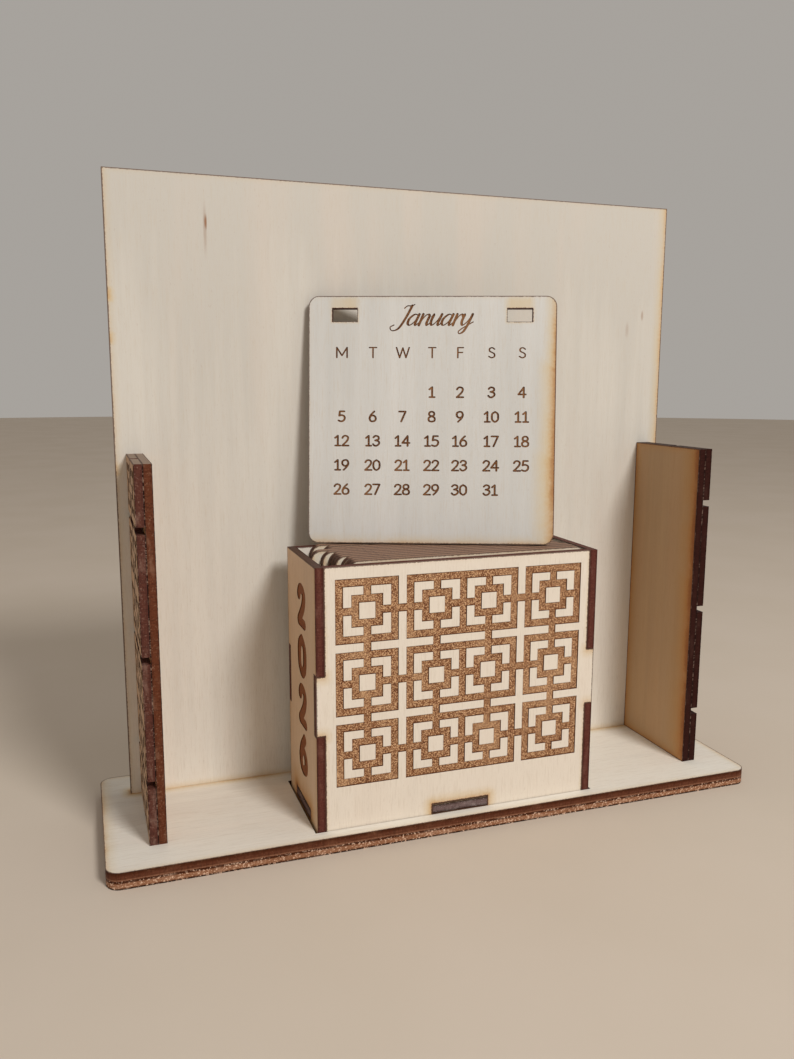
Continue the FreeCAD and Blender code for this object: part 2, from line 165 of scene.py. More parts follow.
class Shading:
    """The node tree of one material. Each method adds nodes and gives back their output."""

    def __init__(self, name):
        self.material = bpy.data.materials.new(name)
        self.material.use_nodes = True
        self.tree = self.material.node_tree
        self.shader = self.tree.nodes["Principled BSDF"]

    def add(self, kind, output, inputs, **settings):
        node = self.tree.nodes.new(kind)
        for name, value in settings.items():
            setattr(node, name, value)
        for key, value in inputs.items():
            self.feed(node.inputs[key], value)
        return node.outputs[output]

    def feed(self, socket, value):
        if isinstance(value, bpy.types.NodeSocket):
            self.tree.links.new(value, socket)
        else:
            socket.default_value = value

    def math(self, operation, first, second=0.0, clamp=False):
        inputs = {0: first, 1: second}
        return self.add("ShaderNodeMath", 0, inputs, operation=operation, use_clamp=clamp)

    def fold(self, operation, values):
        result = values[0]
        for value in values[1:]:
            result = self.math(operation, result, value)
        return result

    def total(self, *terms):
        return self.fold("ADD", terms)

    def minus(self, first, second):
        return self.math("SUBTRACT", first, second)

    def times(self, *factors):
        return self.fold("MULTIPLY", factors)

    def smallest(self, *values):
        return self.fold("MINIMUM", values)

    def greatest(self, *values):
        return self.fold("MAXIMUM", values)

    def swing(self, value, amount):
        """How far a noise is from its middle, times the amount."""
        return self.times(self.minus(value, 0.5), amount)

    def step(self, value, low, high, start=0.0, end=1.0):
        """Goes smoothly from start to end as value goes from low to high."""
        inputs = {0: value, 1: low, 2: high, 3: start, 4: end}
        return self.add("ShaderNodeMapRange", 0, inputs, interpolation_type="SMOOTHSTEP")

    def mix(self, factor, first, second, blend="MIX"):
        inputs = {0: factor, 6: first, 7: second}
        return self.add("ShaderNodeMix", 2, inputs, data_type="RGBA", blend_type=blend)

    def stain(self, colour, tint, strength, value, low, high):
        """Mixes a tint into the colour: none of it where value is low, its full strength where it is high."""
        return self.mix(self.times(self.step(value, low, high), strength), colour, tint)

    def ramp(self, value, stops):
        """A colour read off the stops, (place, colour), by value."""
        node = self.tree.nodes.new("ShaderNodeValToRGB")
        self.feed(node.inputs[0], value)
        elements = node.color_ramp.elements
        elements[0].position, elements[0].color = stops[0]
        elements[1].position, elements[1].color = stops[-1]
        for place, colour in stops[1:-1]:
            elements.new(place).color = colour
        return node.outputs[0]

    def combine(self, x, y, z):
        return self.add("ShaderNodeCombineXYZ", 0, {0: x, 1: y, 2: z})

    def split(self, vector):
        node = self.tree.nodes.new("ShaderNodeSeparateXYZ")
        self.feed(node.inputs[0], vector)
        return [node.outputs[axis] for axis in (X, Y, Z)]

    def noise(self, x, y, z, detail=2.0, roughness=0.5):
        """Noise over three coordinates, each given as it is or as (coordinate, scale)."""
        scaled = [self.times(*part) if isinstance(part, tuple) else part for part in (x, y, z)]
        inputs = {"Vector": self.combine(*scaled), "Scale": 1.0, "Detail": detail, "Roughness": roughness}
        return self.add("ShaderNodeTexNoise", 0, inputs)

    def place(self):
        """The object's own coordinates, as three outputs in millimetres."""
        found = self.add("ShaderNodeTexCoord", "Object", {})
        scaled = self.add("ShaderNodeVectorMath", 0, {0: found, 1: (1 / MM,) * 3}, operation="MULTIPLY")
        return self.split(scaled)

    def facing(self, axis):
        """How squarely the surface looks along the axis, either way: 0 to 1."""
        return self.math("ABSOLUTE", self.split(self.add("ShaderNodeTexCoord", "Normal", {}))[axis])

    def finish(self, colour, roughness, height, depth, gloss=FACE_GLOSS):
        bump = {"Strength": BUMP_STRENGTH, "Distance": depth * MM, "Height": height}
        self.feed(self.shader.inputs["Specular IOR Level"], gloss)
        self.feed(self.shader.inputs["Base Color"], colour)
        self.feed(self.shader.inputs["Roughness"], roughness)
        self.feed(self.shader.inputs["Normal"], self.add("ShaderNodeBump", 0, bump))
        return self.material


class Sheet:
    """What one plywood sheet looks like: which way it lies, its grain, and where the laser scorched it.

    Places are in mm in the sheet's own coordinates. Those in cuts, notches and knots are across and along the
    grain.
    """

    tone = 0.5  # from pale, 0, to grey, 1
    fade = 0.0  # what the tone gains towards the top
    bare = (PALE, CREAM)  # that pale and that grey
    blush = 0.3  # how far pink streaks show
    # The all-over amber is partly scorch and partly painted shade where it is set on the fretwork.
    amber = 0.0  # how far it is browned all over
    # Honey is slight real warmth where it is low, and painted warm shade where it is set high.
    honey = 0.0  # how warm it is all over
    corner = 0.0  # the radius of its corners
    char = CHAR  # the look of its cut edges
    halos = ()  # (axis, end, strength) of the scorch along a straight edge, end being 0 or 1
    cuts = ()  # (low corner, high corner, haze, burn, reach) of the scorch round an opening
    notches = ()  # (low corner, high corner, rim) of a cut with a dark line round it
    knots = ()  # (across, along, half width, half length, strength)

    def __init__(self, name, low, high, normal, grain, seed, **looks):
        self.name = name
        self.low = low
        self.high = high
        self.normal = normal
        self.grain = grain
        self.across = X + Y + Z - normal - grain
        self.seed = seed
        vars(self).update(looks)

    def length(self):
        return self.high[self.grain] - self.low[self.grain]


def wood_grain(n, sheet, place):
    """The bare wood: slow drifts of tone, streaks along the grain, fine fibres and short pores."""
    v, u, t = place[sheet.across], place[sheet.grain], place[sheet.normal]
    deep = n.total(n.times(t, 0.12), sheet.seed * 7.31)
    drift = n.noise((v, 0.022), (u, 0.007), deep)
    streak = n.noise((v, 0.21), (u, 0.009), deep, 3.0, 0.6)
    fibre = n.noise((v, 1.9), (u, 0.11), deep, 3.0, 0.65)
    hair = n.noise((v, 5.2), (u, 0.42), deep, 2.0, 0.6)
    pore = n.noise((v, 2.6), (u, 0.55), n.total(deep, 3.7), 1.0)
    pink = n.noise((v, 0.07), (u, 0.006), n.total(deep, 9.1))

    tone = n.total(n.swing(drift, 0.9), n.swing(streak, 0.6))
    if sheet.fade:
        rise = n.minus(u, sheet.low[sheet.grain])
        tone = n.total(tone, n.times(rise, sheet.fade / sheet.length()))
    tone = n.math("ADD", tone, sheet.tone, clamp=True)
    colour = n.mix(tone, *sheet.bare)
    colour = n.stain(colour, BLUSH, sheet.blush, pink, 0.46, 0.68)
    colour = n.stain(colour, TAN, 0.32, fibre, 0.48, 0.74)
    colour = n.stain(colour, TAN, 0.22, hair, 0.5, 0.8)
    colour = n.stain(colour, KNOT, 0.14, pore, 0.68, 0.78)
    height = n.total(n.times(fibre, 0.6), n.times(hair, 0.4))
    return colour, height


def straight_edge(n, sheet, place, axis, end):
    """The distance in mm from one straight edge of the sheet."""
    if end:
        return n.minus(sheet.high[axis], place[axis])
    return n.minus(place[axis], sheet.low[axis])


def beyond(n, sheet, place, low, high):
    """How far a point lies from a rectangle across and along the grain, in mm."""
    beside = []
    for axis, least, most in zip((sheet.across, sheet.grain), low, high):
        offset = n.math("ABSOLUTE", n.minus(place[axis], (least + most) / 2))
        beside.append(n.greatest(n.minus(offset, (most - least) / 2), 0.0))
    squares = [n.times(value, value) for value in beside]
    return n.math("SQRT", n.total(*squares))


def outline_distance(n, sheet, place):
    """The distance in mm inwards from the sheet's own outline, round its corners too."""
    axes = (sheet.across, sheet.grain)
    edges = [straight_edge(n, sheet, place, axis, end) for axis in axes for end in (0, 1)]
    if not sheet.corner:
        return n.smallest(*edges)
    low = [sheet.low[axis] + sheet.corner for axis in axes]
    high = [sheet.high[axis] - sheet.corner for axis in axes]
    rounded = n.minus(sheet.corner, beyond(n, sheet, place, low, high))
    return n.smallest(rounded, *edges)


def scorch(n, sheet, place):
    """How strongly the laser browned the face, as (wide haze, narrow burn), both broken up along the cut."""
    v, u = place[sheet.across], place[sheet.grain]
    patch = n.noise((v, 0.06), (u, 0.06), sheet.seed + 2.3, 3.0, 0.6)
    ragged = n.noise((v, 0.9), (u, 0.9), sheet.seed + 5.9, 3.0, 0.6)
    wander = n.swing(ragged, WANDER)
    reaches = []
    for axis, end, strength in sheet.halos:
        width = HALO_WIDTH * min(1.0, SLIGHTEST_HALO + strength)
        reaches.append((straight_edge(n, sheet, place, axis, end), strength, strength, width))
    for low, high, hazy, burning, width in sheet.cuts:
        reaches.append((beyond(n, sheet, place, low, high), hazy, burning, width))
    haze, burn = [0.0], [0.0]
    for distance, hazy, burning, width in reaches:
        distance = n.total(distance, wander)
        haze.append(n.times(n.step(distance, 0.0, width, 1.0, 0.0), hazy))
        burn.append(n.times(n.step(distance, 0.0, width * BURN_SHARE, 1.0, 0.0), burning))
    broken = n.step(patch, 0.3, 0.62, 0.6, 1.0)
    return n.times(n.greatest(*haze), broken), n.times(n.greatest(*burn), broken)


def burnt_line(n, sheet, place):
    """The thin dark line that the cut leaves along the sheet's own outline and round its notches."""
    v, u = place[sheet.across], place[sheet.grain]
    ragged = n.noise((v, 1.7), (u, 1.7), sheet.seed + 1.1, 3.0, 0.7)
    width = n.step(ragged, 0.3, 0.7, LINE_THIN, LINE_THICK)
    line = n.times(n.math("LESS_THAN", outline_distance(n, sheet, place), width), OUTLINE_CHAR)
    for low, high, rim in sheet.notches:
        near = n.math("LESS_THAN", beyond(n, sheet, place, low, high), n.total(width, rim))
        line = n.greatest(line, n.times(near, NOTCH_CHAR))
    return line


def knotted(n, sheet, place, colour, height):
    """The colour with the sheet's knots in it: dark flecks with ragged rims."""
    for across, along, width, length, strength in sheet.knots:
        beside = n.times(n.minus(place[sheet.across], across), 1 / width)
        above = n.times(n.minus(place[sheet.grain], along), 1 / length)
        reach = n.math("SQRT", n.total(n.times(beside, beside), n.times(above, above)))
        reach = n.total(reach, n.swing(height, 1.2))
        colour = n.mix(n.times(n.step(reach, 0.25, 1.1, 1.0, 0.0), strength), colour, KNOT)
    return colour


def wood_face(n, sheet, place):
    """(colour, roughness, height) of the sheet's flat faces."""
    colour, height = wood_grain(n, sheet, place)
    haze, burn = scorch(n, sheet, place)
    colour = n.mix(n.times(haze, 0.9), colour, HAZE)
    # The all-over amber adds partly scorch, partly painted shade.
    colour = n.mix(n.math("ADD", n.times(burn, 0.85), sheet.amber, clamp=True), colour, AMBER)
    colour = n.stain(colour, RUST, 0.55, burn, 0.45, 1.0)
    colour = knotted(n, sheet, place, colour, height)
    # The honey tint: painted warm shade where it is set high, the wood's own warmth where it is low.
    if sheet.honey:
        colour = n.mix(sheet.honey, colour, HONEY_AND_SHADE, "MULTIPLY")
    colour = n.mix(burnt_line(n, sheet, place), colour, CHAR_LINE)
    roughness = n.step(height, 0.3, 0.7, 0.52, 0.68)
    return colour, roughness, height


def charred_edge(n, sheet, place):
    """(colour, roughness, height) of the cut edges: the plies, with fine lines through the thickness."""
    char = sheet.char
    v, u, t = place[sheet.across], place[sheet.grain], place[sheet.normal]
    thickness = sheet.high[sheet.normal] - sheet.low[sheet.normal]
    depth = n.times(n.minus(t, sheet.low[sheet.normal]), 1 / thickness)
    off_middle = n.math("ABSOLUTE", n.minus(depth, 0.5))
    lines = n.noise((v, 2.1), (u, 2.1), (t, 0.35), 3.0, 0.65)
    blotch = n.noise((v, 0.12), (u, 0.12), (t, 0.35), 3.0, 0.6)
    crumb = n.noise((v, 1.4), (u, 1.4), (t, 1.9), 2.0, 0.6)

    colour = n.ramp(n.total(depth, n.swing(crumb, 0.1)), char["stops"])
    colour = n.stain(colour, char["dark"], 0.4, lines, 0.46, 0.7)
    colour = n.stain(colour, char["speck"], char["bloom"], blotch, 0.5, 0.75)
    colour = n.stain(colour, char["speck"], char["speckle"], crumb, char["sparse"], char["sparse"] + 0.1)
    colour = n.stain(colour, char["dark"], 0.5, crumb, 0.42, 0.3)
    if char["chips"]:
        chip = n.noise((v, 0.8), (u, 0.8), (t, 0.5), 3.0, 0.7)
        at_rim = n.step(off_middle, 0.4, 0.47)
        colour = n.mix(n.times(n.step(chip, 0.5, 0.62), at_rim, char["chips"]), colour, char["speck"])
    # The topmost upward edges take the ash colour: partly real ash, partly a painted highlight where light
    # grazes the top.
    if char["ash_and_sheen"]:
        inside = n.step(off_middle, 0.38, 0.44, 1.0, 0.0)
        upward = n.step(n.facing(Z), 0.85, 0.99)
        topmost = n.math("GREATER_THAN", place[Z], sheet.high[Z] - ASH_AND_SHEEN_DEPTH)
        colour = n.mix(n.times(upward, topmost, inside, n.step(lines, 0.2, 0.5)), colour, char["ash_and_sheen"])
    roughness = n.step(lines, 0.3, 0.7, 0.45, 0.65)
    return colour, roughness, n.total(n.times(lines, 0.6), n.times(crumb, 0.4))


def engraved_floor(n, sheet, place, burn):
    """(colour, roughness, height) of an engraved recess: burnt wood, speckled where the grain held."""
    v, u, t = place[sheet.across], place[sheet.grain], place[sheet.normal]
    grit = n.noise((v, 2.7), (u, 3.1), t, 1.0, 0.6)
    fibre = n.noise((v, 1.2), (u, 0.12), t, 3.0, 0.6)
    patch = n.noise((v, 0.11), (u, 0.04), sheet.seed + 4.4)
    colour = n.mix(n.step(grit, 0.38, 0.5), burn["dark"], burn["middle"])
    colour = n.stain(colour, burn["light"], 0.85, grit, 0.52, 0.62)
    colour = n.stain(colour, burn["light"], 0.15, fibre, 0.5, 0.75)
    colour = n.stain(colour, burn["light"], burn["patchy"], patch, 0.5, 0.66)
    return colour, n.step(grit, 0.3, 0.7, 0.62, 0.8), grit


def face_material(sheet):
    n = Shading(sheet.name + "_wood")
    return n.finish(*wood_face(n, sheet, n.place()), FACE_BUMP)


def edge_material(sheet):
    n = Shading(sheet.name + "_cut_edge")
    return n.finish(*charred_edge(n, sheet, n.place()), EDGE_BUMP, EDGE_GLOSS)


def floor_material(sheet, burn):
    n = Shading(sheet.name + "_engraved")
    return n.finish(*engraved_floor(n, sheet, n.place(), burn), FLOOR_BUMP)


def rim_material(sheet):
    """The darker rim and side walls of a recess."""
    n = Shading(sheet.name + "_recess_rim")
    x, y, z = n.place()
    grit = n.noise((x, 2.2), (y, 2.2), (z, 2.2))
    colour = n.mix(n.step(grit, 0.3, 0.7), OUTLINE, LATTICE_BURN["dark"])
    return n.finish(colour, n.step(grit, 0.3, 0.7, 0.6, 0.75), grit, RIM_BUMP, EDGE_GLOSS)


# The slots of an engraved piece, in the order of its materials.
WOOD, CUT, FLOOR, WALL = range(4)


def engraved_materials(sheet, burn):
    return [face_material(sheet), edge_material(sheet), floor_material(sheet, burn), rim_material(sheet)]


def sheet_material(sheet):
    """Face and cut edge in one material, told apart by which way the surface looks."""
    n = Shading(sheet.name + "_plywood")
    place = n.place()
    on_face = n.math("GREATER_THAN", n.facing(sheet.normal), 0.5)
    face_colour, *face = wood_face(n, sheet, place)
    edge_colour, *edge = charred_edge(n, sheet, place)
    colour = n.mix(on_face, edge_colour, face_colour)
    roughness, height, gloss = [
        n.add("ShaderNodeMix", 0, {0: on_face, 2: at_edge, 3: at_face})
        for at_edge, at_face in zip((*edge, EDGE_GLOSS), (*face, FACE_GLOSS))
    ]
    return n.finish(colour, roughness, height, SHEET_BUMP, gloss)


def mm_box(node):
    return tuple([value / MM for value in corner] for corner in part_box(node))


def finish_node(node, normal, grain, seed, **looks):
    """Gives a CAD node that stays the look of its own sheet."""
    low, high = mm_box(node)
    made = NODES[node]
    made.data.materials.clear()
    made.data.materials.append(sheet_material(Sheet(node, low, high, normal, grain, seed, **looks)))


# ---------------------------------------------------------------- mesh work

WELD = 2e-6
FLAT_ANGLE = math.radians(0.5)
DEPTH_SLACK = 0.05 * MM


def new_object(name, mesh):
    made = bpy.data.objects.new(name, mesh)
    bpy.context.scene.collection.objects.link(made)
    return made


def copy_of_node(node, place):
    """The CAD node's mesh in the coordinates that place sets up, welded and with whole flat faces."""
    shape = bmesh.new()
    shape.from_mesh(NODES[node].data)
    bmesh.ops.remove_doubles(shape, verts=shape.verts, dist=WELD)
    bmesh.ops.transform(shape, matrix=place.inverted(), verts=shape.verts)
    bmesh.ops.dissolve_limit(shape, angle_limit=FLAT_ANGLE, verts=shape.verts, edges=shape.edges)
    mesh = bpy.data.meshes.new(node + "_copy")
    shape.to_mesh(mesh)
    shape.free()
    return mesh


def carve(name, node, cutter, place=Matrix.Identity(4)):
    """A new piece in the node's own shape, less the cutter."""
    piece = new_object(name, copy_of_node(node, place))
    knife = new_object(name + "_cutter", cutter)
    cut = piece.modifiers.new("cut", "BOOLEAN")
    cut.object = knife
    cut.operation = "DIFFERENCE"
    cut.solver = "MANIFOLD"
    bpy.context.view_layer.update()
    graph = bpy.context.evaluated_depsgraph_get()
    result = bpy.data.meshes.new_from_object(piece.evaluated_get(graph), depsgraph=graph)
    piece.modifiers.clear()
    piece.data = result
    bpy.data.objects.remove(knife)
    piece.matrix_world = place
    return piece


def paint_faces(piece, normal, floor_at, outward, materials):
    """Sets each face's material.

    floor_at is where the recess floor lies along the sheet's normal, and outward, 1 or -1, is the side of it
    that the recess opens to.
    """
    piece.data.materials.clear()
    for material in materials:
        piece.data.materials.append(material)
    for face in piece.data.polygons:
        flat = abs(face.normal[normal]) > 0.5
        spots = [piece.data.vertices[i].co[normal] for i in face.vertices]
        in_recess = all(outward * (spot - floor_at) > -DEPTH_SLACK for spot in spots)
        on_floor = all(abs(spot - floor_at) < DEPTH_SLACK for spot in spots)
        if flat:
            face.material_index = FLOOR if on_floor else WOOD
        else:
            face.material_index = WALL if in_recess else CUT


def ring_the_floor(piece, width):
    """Sets a narrow rim in each recess floor, next to its walls, in the wall's material."""
    shape = bmesh.new()
    shape.from_mesh(piece.data)
    floor = [face for face in shape.faces if face.material_index == FLOOR]
    made = bmesh.ops.inset_region(shape, faces=floor, thickness=width, use_even_offset=True)
    for face in made["faces"]:
        face.material_index = WALL
    shape.to_mesh(piece.data)
    shape.free()


def settle(piece, node):
    """The piece stands for the node and rides on its body."""
    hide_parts(node)
    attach(piece, BODY_OF[node])


# ---------------------------------------------------------------- lettering

# Both fonts are stroke letters of this script's own. A line with a name and a number begins a glyph and gives
# its width. Each line under it is a stroke, with its points, or the name of a glyph whose strokes it shares.
# All are in hundredths of the height of a figure, or of a small letter in the slanted font.
PLAIN_STROKES = """
0 60
curve 30,100 8,82 3,50 8,18 30,0 52,18 57,50 52,82 30,100
1 54
line 6,78 29,100 29,0
line 8,0 50,0
2 60
curve 5,78 14,94 31,100 50,90 53,70 40,42 5,2
line 3,0 57,0
3 60
curve 6,84 16,96 31,100 49,90 49,66 22,54
curve 22,54 50,44 54,20 32,0 13,3 3,16
4 64
line 46,0 46,100 2,30 62,30
5 60
line 52,100 14,100 9,56
curve 9,56 30,62 52,50 55,25 40,3 20,0 3,8
6 60
curve 44,100 17,68 4,35 12,6 32,0 53,12 55,40 38,59 16,55 5,36
7 60
line 3,100 57,100 20,0
8 60
curve 30,54 10,66 11,90 30,100 49,90 50,66 30,54 6,38 7,9 30,0 53,9 54,38 30,54
9 60
curve 16,0 43,32 56,65 48,94 28,100 7,88 5,60 22,41 44,45 55,64
M 100
line 6,0 6,100 50,20 94,100 94,0
T 64
line 2,100 62,100
line 32,100 32,0
W 114
line 3,100 30,0 57,96 84,0 111,100
F 56
line 6,0 6,100 53,100
line 6,52 46,52
S 60
curve 52,86 31,100 10,90 10,66 30,53 50,38 50,12 27,0 4,13
"""

SCRIPT_STROKES = """
arch 0
curve 20,20 42,80 66,100 84,82 82,25 95,0 120,30
cup 0
curve 2,75 16,100 14,35 34,0 66,35 86,100
bowl 0
curve 84,86 50,100 14,62 14,18 40,0 72,35 88,100
tail 0
curve 88,100 83,20 95,0 120,30
loop 0
curve 87,100 80,0 66,-58 38,-76 22,-56 50,-24 120,30
stem 0
line 20,100 20,0
a 104
bowl
tail
b 92
curve 22,190 18,40 38,0 70,20 78,64 55,96 22,66
c 80
curve 68,82 46,100 14,62 14,18 42,0 95,30
e 80
curve 12,42 58,60 64,92 40,100 12,60 14,16 42,0 95,30
g 104
bowl
loop
h 104
line 20,190 20,0
arch
i 42
curve 20,100 15,20 28,0 55,30
line 24,142 24,138
l 42
curve 22,190 15,20 28,0 55,30
m 172
stem
curve 20,20 40,80 62,100 80,80 80,0
curve 80,20 102,80 126,100 144,82 142,25 155,0 185,30
n 104
stem
arch
o 95
curve 50,100 15,62 17,15 45,0 78,30 76,80 50,100 62,80 108,80
p 100
line 20,100 16,-90
curve 20,30 44,88 68,96 82,60 66,10 42,0 20,12
r 74
stem
curve 20,20 40,80 62,100 76,86
s 74
curve 62,82 40,100 22,78 50,42 46,8 22,0 6,16
t 55
curve 24,150 18,20 32,0 64,30
line 0,102 52,102
u 104
cup
tail
v 90
curve 2,75 16,100 24,50 34,0 66,40 76,100 100,88
y 104
cup
loop
A 142
curve -5,10 20,5 60,90 102,190
line 102,190 110,0
line 42,66 116,66
D 150
line 50,175 40,5
curve 5,155 50,188 115,168 134,95 100,20 50,0 15,12
F 112
curve 68,180 60,50 36,0 5,12
curve 15,155 42,186 90,176 142,192
line 34,100 102,100
J 100
curve 28,154 48,176 84,175 108,188
curve 89,178 77,70 50,-28 0,-50 -32,-20 -5,2
M 175
curve -5,10 14,5 30,100 40,188
line 40,188 80,30
line 80,30 140,188
curve 140,188 138,30 150,0 180,30
N 150
curve -5,10 14,5 28,100 36,188
line 36,188 110,2
curve 110,2 120,100 136,186 156,192
O 142
curve 85,188 35,150 18,80 42,8 90,10 124,80 120,155 85,188 72,162 100,140
S 116
curve 106,152 84,188 44,172 46,125 86,75 78,12 36,0 5,30
"""


def read_font(text):
    """{glyph: (width, strokes)}, a stroke being "curve" or "line" and its points."""
    font = {}
    for line in text.strip().splitlines():
        name, *values = line.split()
        if name in ("curve", "line"):
            points = [tuple(int(part) / 100 for part in value.split(",")) for value in values]
            strokes.append((name, *points))
        elif values:
            strokes = []
            font[name] = (int(values[0]) / 100, strokes)
        else:
            strokes += font[name][1]
    return font


PLAIN = read_font(PLAIN_STROKES)
SCRIPT = read_font(SCRIPT_STROKES)
LETTER_GAP = 0.1
SCRIPT_SLANT = 0.42
CURVE_STEPS = 5
STAMP_SIDES = 12
OUTLINE_SLACK = 0.004
SAME_POINT = 1e-6
SHORTEST = 1e-9
# What delaunay_2d_cdt gives back: every triangle, or only those inside the outline.
ALL_TRIANGLES, INSIDE_ONLY = 0, 1


def along_curve(points):
    """Points on a smooth curve through the given ones."""
    padded = [points[0], *points, points[-1]]
    found = []
    for corners in zip(padded, padded[1:], padded[2:], padded[3:]):
        for step in range(CURVE_STEPS):
            t = step / CURVE_STEPS
            weights = (-t + 2 * t**2 - t**3, 2 - 5 * t**2 + 3 * t**3, t + 4 * t**2 - 3 * t**3, t**3 - t**2)
            found.append(tuple(sum(w * c[axis] for w, c in zip(weights, corners)) / 2 for axis in (0, 1)))
    return found + [points[-1]]


def hull(points):
    """The convex outline of some points, counterclockwise."""
    def half(ordered):
        kept = []
        for point in ordered:
            while len(kept) > 1:
                (ax, ay), (bx, by) = kept[-2:]
                if (bx - ax) * (point[1] - ay) - (by - ay) * (point[0] - ax) > 0:
                    break
                kept.pop()
            kept.append(point)
        return kept[:-1]
    ordered = sorted(set(points))
    return half(ordered) + half(ordered[::-1])


def stamp(centre, radius):
    turns = [2 * math.pi * side / STAMP_SIDES for side in range(STAMP_SIDES)]
    return [(centre[0] + radius * math.cos(turn), centre[1] + radius * math.sin(turn)) for turn in turns]


def pen_radius(start, end, pen):
    """Half the stroke's width: thick where the pen goes down, thin where it goes up or across.

    pen is the thin width, the thick width, and the share of the thickness that an upstroke gets.
    """
    thin, thick, upstroke = pen
    dx, dy = end[0] - start[0], end[1] - start[1]
    steepness = abs(dy) / max(math.hypot(dx, dy), SHORTEST)
    weight = steepness if dy < 0 else steepness * upstroke
    return (thin + (thick - thin) * weight ** 1.5) / 2


def stroke_hulls(stroke, move, pen):
    """Convex pieces that together cover one stroke of the pen."""
    kind, *points = stroke
    path = [move(*point) for point in (along_curve(points) if kind == "curve" else points)]
    radii = [pen_radius(start, end, pen) for start, end in zip(path, path[1:])]
    at = [radii[0], *[(a + b) / 2 for a, b in zip(radii, radii[1:])], radii[-1]]
    if kind == "line":
        return [hull(stamp(a, r) + stamp(b, r)) for a, b, r in zip(path, path[1:], radii)]
    return [hull(stamp(a, r) + stamp(b, q)) for a, b, r, q in zip(path, path[1:], at, at[1:])]


def joined(hulls):
    """(points, triangles) of the area that the convex pieces cover between them."""
    points, faces = [], []
    for corners in hulls:
        faces.append(list(range(len(points), len(points) + len(corners))))
        points += [Vector(corner) for corner in corners]
    found, _, triangles, _, _, sources = delaunay_2d_cdt(points, [], faces, ALL_TRIANGLES, SAME_POINT)
    return outlined(found, [tri for tri, source in zip(triangles, sources) if source])


def outlined(points, triangles):
    """The same area with its outline thinned out and nothing inside: (points, triangles)."""
    edges = {(tri[i - 1], tri[i]) for tri in triangles for i in range(3)}
    onward = {start: end for start, end in sorted(edges) if (end, start) not in edges}
    corners, outline, loops = [], [], []
    while onward:
        start = min(onward)
        loop = [start]
        while onward.get(loop[-1], start) != start:
            loop.append(onward.pop(loop[-1]))
        onward.pop(loop[-1], None)
        loop = thinned([tuple(points[i]) for i in loop])
        loops.append(loop)
        first = len(corners)
        corners += [Vector(point) for point in loop]
        outline += [(first + i, first + (i + 1) % len(loop)) for i in range(len(loop))]
    found, _, faces, _, _, _ = delaunay_2d_cdt(corners, outline, [], INSIDE_ONLY, SAME_POINT)
    points = [tuple(point) for point in found]
    return points, [tuple(face) for face in faces if is_within(loops, [points[i] for i in face])]


def is_within(loops, triangle):
    """Whether the triangle's middle is inside an odd number of the outlines."""
    x, y = (sum(point[axis] for point in triangle) / 3 for axis in (0, 1))
    crossings = 0
    for loop in loops:
        for (ax, ay), (bx, by) in zip(loop, loop[1:] + loop[:1]):
            if (ay > y) != (by > y):
                crossings += x < ax + (y - ay) * (bx - ax) / (by - ay)
    return crossings % 2 == 1


def thinned(loop):
    """A closed outline without the points that lie within OUTLINE_SLACK of it."""
    far = max(range(len(loop)), key=lambda i: math.dist(loop[0], loop[i]))
    return thinned_run(loop[:far + 1])[:-1] + thinned_run(loop[far:] + loop[:1])[:-1]


def thinned_run(run):
    (ax, ay), (bx, by) = run[0], run[-1]
    length = max(math.dist(run[0], run[-1]), SHORTEST)
    away = [abs((bx - ax) * (y - ay) - (by - ay) * (x - ax)) / length for x, y in run]
    worst = max(range(len(run)), key=away.__getitem__)
    if len(run) < 3 or away[worst] < OUTLINE_SLACK:
        return [run[0], run[-1]]
    return thinned_run(run[:worst + 1])[:-1] + thinned_run(run[worst:])


LETTERED = {}


def lettering(text, font, slant, pen):
    """(points, triangles, width) of a word that starts at x = 0, in the font's own unit."""
    key = (text, id(font), slant, pen)
    if key not in LETTERED:
        gap = LETTER_GAP if font is PLAIN else 0.0
        hulls, x = [], 0.0
        for letter in text:
            width, strokes = font[letter]
            for stroke in strokes:
                hulls += stroke_hulls(stroke, lambda a, b: (x + a + slant * b, b), pen)
            x += width + gap
        LETTERED[key] = (*joined(hulls), x - gap)
    return LETTERED[key]


def add_text(shape, text, font, height, centre, axes, pen, slant=0.0, stretch=1.0):
    """Adds a word to a cutter as a solid. axes are the directions of writing, up, and out of the sheet."""
    points, triangles, width = lettering(text, font, slant, pen)
    right, up, out = axes
    layers = []
    for side in (-0.5, 0.5):
        layers.append([
            shape.verts.new(
                centre + right * (x - width / 2) * height * stretch + up * (y - 0.5) * height + out * side
            )
            for x, y in points
        ])
    below, above = layers
    for a, b, c in triangles:
        shape.faces.new((below[c], below[b], below[a]))
        shape.faces.new((above[a], above[b], above[c]))
    edges = dict.fromkeys(edge for a, b, c in triangles for edge in ((a, b), (b, c), (c, a)))
    for start, end in edges:
        if (end, start) not in edges:
            shape.faces.new((below[start], below[end], above[end], above[start]))


def cutter_mesh(shape):
    loose = [vertex for vertex in shape.verts if not vertex.link_faces]
    bmesh.ops.delete(shape, geom=loose, context="VERTS")
    bmesh.ops.recalc_face_normals(shape, faces=shape.faces)
    mesh = bpy.data.meshes.new("cutter")
    shape.to_mesh(mesh)
    shape.free()
    return mesh


# ---------------------------------------------------------------- the month cards

CARD = 93.5
CARD_THICK = 3.0
CARD_CORNER = 4.0
TEXT_DEPTH = 0.3
WEEKDAYS = "MTWTFSS"
DIGIT_HEIGHT, TITLE_HEIGHT = 3.75, 4.1
DIGIT_PEN, LIGHT_PEN, SCRIPT_PEN = (0.18, 0.18, 1.0), (0.13, 0.14, 1.0), (0.1, 0.25, 0.13)
TEXT_STRETCH = 1.18
STOCK_LOTS = 3
YEAR = 2026

